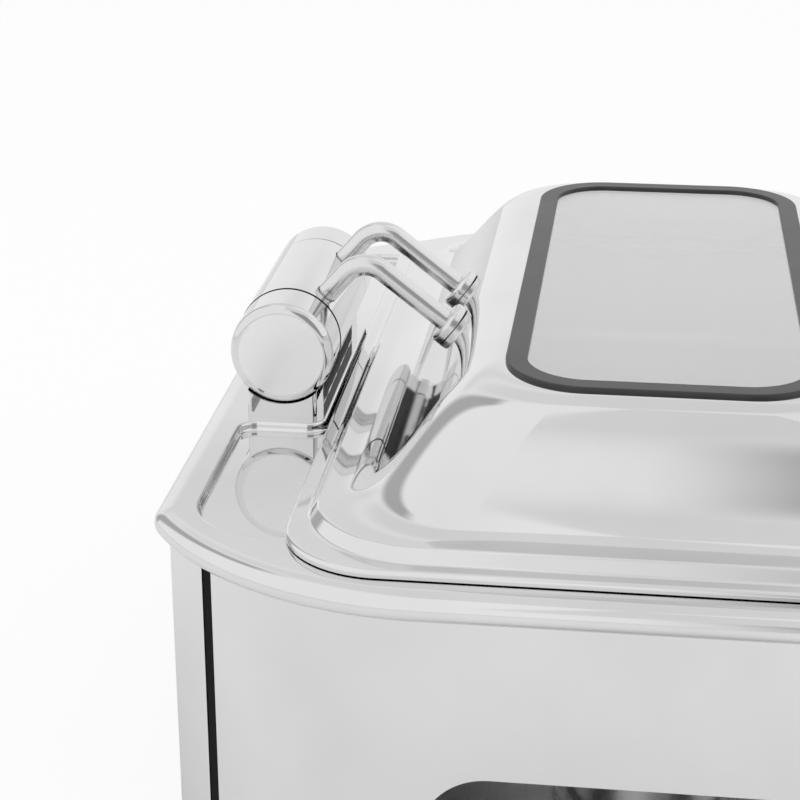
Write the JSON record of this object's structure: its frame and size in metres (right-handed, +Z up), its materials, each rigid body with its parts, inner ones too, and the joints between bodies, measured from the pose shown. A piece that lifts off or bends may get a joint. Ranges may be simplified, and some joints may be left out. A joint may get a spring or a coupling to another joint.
{
  "type": "chafing dish",
  "caption": "Rectangular chafing dish: glass-windowed domed lid on a barrel hinge with bent rod arms, over a food pan, water pan, arched stand and swivel-lidded burner cups.",
  "frame": {"origin": "on the table, under the middle of the deck's rim", "axes": "+X along the dish to its right end, +Y to the rear where the hinge is, +Z up"},
  "size_m": [0.6, 0.4634, 0.3108],
  "materials": {
    "mirror_steel": "mirror polished stainless steel",
    "satin_steel": "satin stainless steel",
    "dark_frame": "dark grey heat-resistant moulding",
    "black_polymer": "black heat-resistant moulding",
    "black_rubber": "black silicone rubber",
    "window_glass": "clear toughened glass",
    "bronze": "plain bearing bronze",
    "damper_body": "turned aluminium"
  },
  "bodies": {
    "stand": {"deck_frame": "mirror_steel", "water_pan": "satin_steel", "food_pan": "satin_steel", "front_panel": "mirror_steel", "rear_panel": "mirror_steel", "left_panel": "mirror_steel", "right_panel": "mirror_steel", "corner_post_front_left": "black_polymer", "foot_front_left": "black_rubber", "corner_post_front_right": "black_polymer", "foot_front_right": "black_rubber", "corner_post_rear_left": "black_polymer", "foot_rear_left": "black_rubber", "corner_post_rear_right": "black_polymer", "foot_rear_right": "black_rubber", "panel_nuts": "satin_steel", "burner_shelf": "satin_steel", "shelf_screws": "satin_steel", "hinge_bracket": "mirror_steel", "bracket_screws": "satin_steel", "hinge_cap_left": "mirror_steel", "hinge_cap_right": "mirror_steel", "joint_ring_left": "black_polymer", "joint_ring_right": "black_polymer", "hinge_shaft": "satin_steel", "damper_cartridge": "damper_body"},
    "lid": {"hinge_sleeve": "mirror_steel", "sleeve_bushing_left": "bronze", "sleeve_bushing_right": "bronze", "lid_arm_left": "mirror_steel", "lid_arm_right": "mirror_steel", "lid_handle": "mirror_steel", "arm_left_collar": "mirror_steel", "arm_right_collar": "mirror_steel", "handle_left_collar": "mirror_steel", "handle_right_collar": "mirror_steel", "lid_washers": "satin_steel", "lid_nuts": "satin_steel", "lid_shell": "mirror_steel", "window_frame": "dark_frame", "window_glass": "window_glass", "lid_gasket": "black_rubber"},
    "burner_left": {"burner_holder_left": "satin_steel", "pivot_pin_left": "satin_steel"},
    "cover_left": {"snuffer_cover_left": "satin_steel", "snuffer_knob_left": "black_polymer"},
    "burner_right": {"burner_holder_right": "satin_steel", "pivot_pin_right": "satin_steel"},
    "cover_right": {"snuffer_cover_right": "satin_steel", "snuffer_knob_right": "black_polymer"}
  },
  "joints": [
    {"name": "lid_hinge", "type": "hinge", "parent": "stand", "child": "lid", "pos_m": [0, 0.1872, 0.2637], "axis": [-1, 0, 0], "range_deg": [0, 90]},
    {"name": "burner_left_lift", "type": "slide", "parent": "stand", "child": "burner_left", "axis": [0, 0, 1], "range_m": [0, 0.02]},
    {"name": "cover_left_swivel", "type": "hinge", "parent": "burner_left", "child": "cover_left", "pos_m": [-0.13, 0.0202, 0.085], "axis": [0, 0, -1], "range_deg": [0, 110]},
    {"name": "burner_right_lift", "type": "slide", "parent": "stand", "child": "burner_right", "axis": [0, 0, 1], "range_m": [0, 0.02]},
    {"name": "cover_right_swivel", "type": "hinge", "parent": "burner_right", "child": "cover_right", "pos_m": [0.13, 0.0202, 0.085], "axis": [0, 0, 1], "range_deg": [0, 110]}
  ]
}
